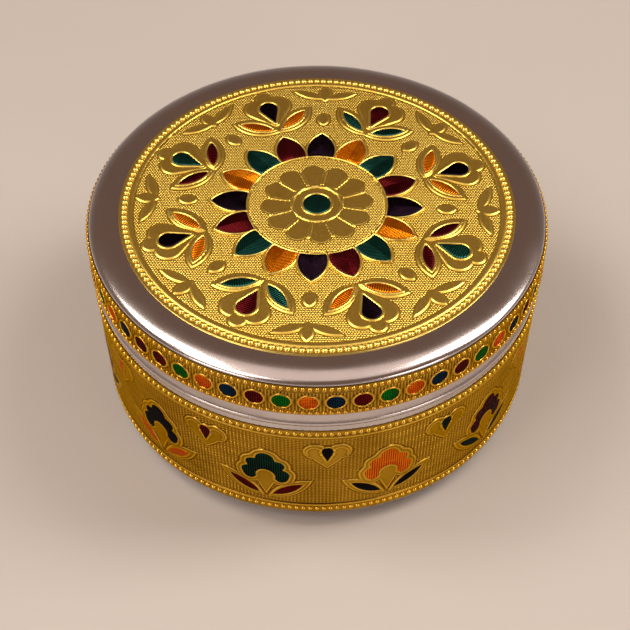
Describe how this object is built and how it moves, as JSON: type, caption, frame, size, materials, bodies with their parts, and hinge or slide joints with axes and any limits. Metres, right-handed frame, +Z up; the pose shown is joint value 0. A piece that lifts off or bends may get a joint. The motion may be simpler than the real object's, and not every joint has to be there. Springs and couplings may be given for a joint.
{
  "type": "round spice box with inner cups",
  "caption": "Round steel spice box with a lift-off lid, clad in embossed gold foil with coloured enamel flowers, and holding steel cups and a spoon.",
  "frame": {"origin": "centre of the face the box rests on", "axes": "+Z up out of the lid, front of the pattern towards -Y, spoon handle along +X"},
  "size_m": [0.1898, 0.1898, 0.0966],
  "materials": {
    "steel": "polished, fine turned lines",
    "gold_foil": "embossed, glossy gold lacquer",
    "enamel_black": "translucent gloss over hatched foil",
    "enamel_green": "translucent gloss over hatched foil",
    "enamel_amber": "translucent gloss over hatched foil",
    "enamel_red": "translucent gloss over hatched foil",
    "jewel_amber": "translucent gloss over crosshatched foil",
    "jewel_blue": "translucent gloss over crosshatched foil",
    "jewel_red": "translucent gloss over crosshatched foil",
    "jewel_green": "translucent gloss over crosshatched foil"
  },
  "bodies": {
    "base": {"base_pan": "steel", "body_foil": "gold_foil", "body_enamel_black": "enamel_black", "body_enamel_green": "enamel_green", "body_enamel_amber": "enamel_amber", "body_enamel_red": "enamel_red"},
    "lid": {"lid_shell": "steel", "lid_foil_disc": "gold_foil", "lid_foil_band": "gold_foil", "lid_enamel_black": "enamel_black", "lid_enamel_green": "enamel_green", "lid_enamel_amber": "enamel_amber", "lid_enamel_red": "enamel_red", "jewels_amber": "jewel_amber", "jewels_blue": "jewel_blue", "jewels_red": "jewel_red", "jewels_green": "jewel_green"},
    "cup_center": {"cup_center": "steel"},
    "cup_1": {"cup_1": "steel"},
    "cup_2": {"cup_2": "steel"},
    "cup_3": {"cup_3": "steel"},
    "cup_4": {"cup_4": "steel"},
    "cup_5": {"cup_5": "steel"},
    "cup_6": {"cup_6": "steel"},
    "spoon": {"spoon": "steel"}
  },
  "joints": [
    {"name": "lid_lift", "type": "slide", "parent": "base", "child": "lid", "axis": [0, 0, 1], "range_m": [0, 0.22]},
    {"name": "cup_center_lift", "type": "slide", "parent": "base", "child": "cup_center", "axis": [0, 0, 1], "range_m": [0, 0.1]},
    {"name": "cup_1_lift", "type": "slide", "parent": "base", "child": "cup_1", "axis": [0, 0, 1], "range_m": [0, 0.1]},
    {"name": "cup_2_lift", "type": "slide", "parent": "base", "child": "cup_2", "axis": [0, 0, 1], "range_m": [0, 0.1]},
    {"name": "cup_3_lift", "type": "slide", "parent": "base", "child": "cup_3", "axis": [0, 0, 1], "range_m": [0, 0.1]},
    {"name": "cup_4_lift", "type": "slide", "parent": "base", "child": "cup_4", "axis": [0, 0, 1], "range_m": [0, 0.1]},
    {"name": "cup_5_lift", "type": "slide", "parent": "base", "child": "cup_5", "axis": [0, 0, 1], "range_m": [0, 0.1]},
    {"name": "cup_6_lift", "type": "slide", "parent": "base", "child": "cup_6", "axis": [0, 0, 1], "range_m": [0, 0.1]},
    {"name": "spoon_lift", "type": "slide", "parent": "base", "child": "spoon", "axis": [0, 0, 1], "range_m": [0, 0.155]}
  ],
  "couplings": [
    {"joint": "cup_center_lift", "follows": "lid_lift", "ratio": 0.45},
    {"joint": "cup_1_lift", "follows": "lid_lift", "ratio": 0.45},
    {"joint": "cup_2_lift", "follows": "lid_lift", "ratio": 0.45},
    {"joint": "cup_3_lift", "follows": "lid_lift", "ratio": 0.45},
    {"joint": "cup_4_lift", "follows": "lid_lift", "ratio": 0.45},
    {"joint": "cup_5_lift", "follows": "lid_lift", "ratio": 0.45},
    {"joint": "cup_6_lift", "follows": "lid_lift", "ratio": 0.45},
    {"joint": "spoon_lift", "follows": "lid_lift", "ratio": 0.7}
  ]
}
